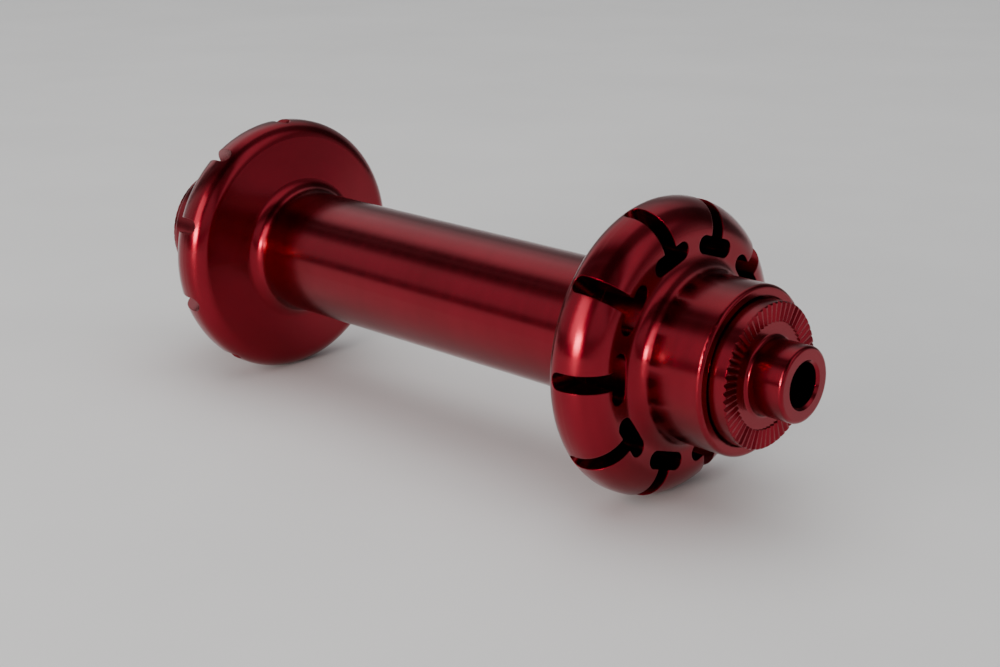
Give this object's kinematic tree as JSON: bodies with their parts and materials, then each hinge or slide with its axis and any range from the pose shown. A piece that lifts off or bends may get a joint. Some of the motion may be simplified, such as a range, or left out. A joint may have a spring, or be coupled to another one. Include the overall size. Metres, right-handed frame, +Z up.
{
  "type": "bicycle front hub",
  "caption": "Front bicycle hub with slotted flanges for straight-pull spokes, turning on cartridge bearings on a hollow axle with clamping end caps.",
  "frame": {"origin": "middle of the hub, on the axle's centre line", "axes": "+Y along the axle towards the right end, +Z up when the wheel stands, +X forward"},
  "size_m": [0.0358, 0.109, 0.0358],
  "materials": {
    "red_anodised": "turned, polished and dyed deep red anodising",
    "axle_alloy": "turned, clear anodised",
    "bearing_steel": "ground bearing steel",
    "ball_steel": "polished bearing steel",
    "cage_nylon": "moulded nylon",
    "rubber": "moulded nitrile rubber"
  },
  "bodies": {
    "axle_assembly": {"axle": "axle_alloy", "left_end_cap": "red_anodised", "right_end_cap": "red_anodised", "left_cap_oring": "rubber", "right_cap_oring": "rubber", "left_dust_seal": "rubber", "right_dust_seal": "rubber", "left_inner_race": "bearing_steel", "right_inner_race": "bearing_steel"},
    "shell": {"hub_shell": "red_anodised", "left_outer_race": "bearing_steel", "right_outer_race": "bearing_steel", "left_inboard_seal": "rubber", "right_inboard_seal": "rubber", "left_outboard_seal": "rubber", "right_outboard_seal": "rubber"},
    "left_ball_train": {"left_balls": "ball_steel", "left_cage": "cage_nylon"},
    "right_ball_train": {"right_balls": "ball_steel", "right_cage": "cage_nylon"}
  },
  "joints": [
    {"name": "hub_spin", "type": "hinge", "parent": "axle_assembly", "child": "shell", "pos_m": [0, 0, 0], "axis": [0, 1, 0], "continuous": true},
    {"name": "left_ball_train_spin", "type": "hinge", "parent": "axle_assembly", "child": "left_ball_train", "pos_m": [0, -0.0431, 0], "axis": [0, 1, 0], "continuous": true},
    {"name": "right_ball_train_spin", "type": "hinge", "parent": "axle_assembly", "child": "right_ball_train", "pos_m": [0, 0.0431, 0], "axis": [0, 1, 0], "continuous": true}
  ],
  "couplings": [
    {"joint": "left_ball_train_spin", "follows": "hub_spin", "ratio": 0.58333},
    {"joint": "right_ball_train_spin", "follows": "hub_spin", "ratio": 0.58333}
  ]
}
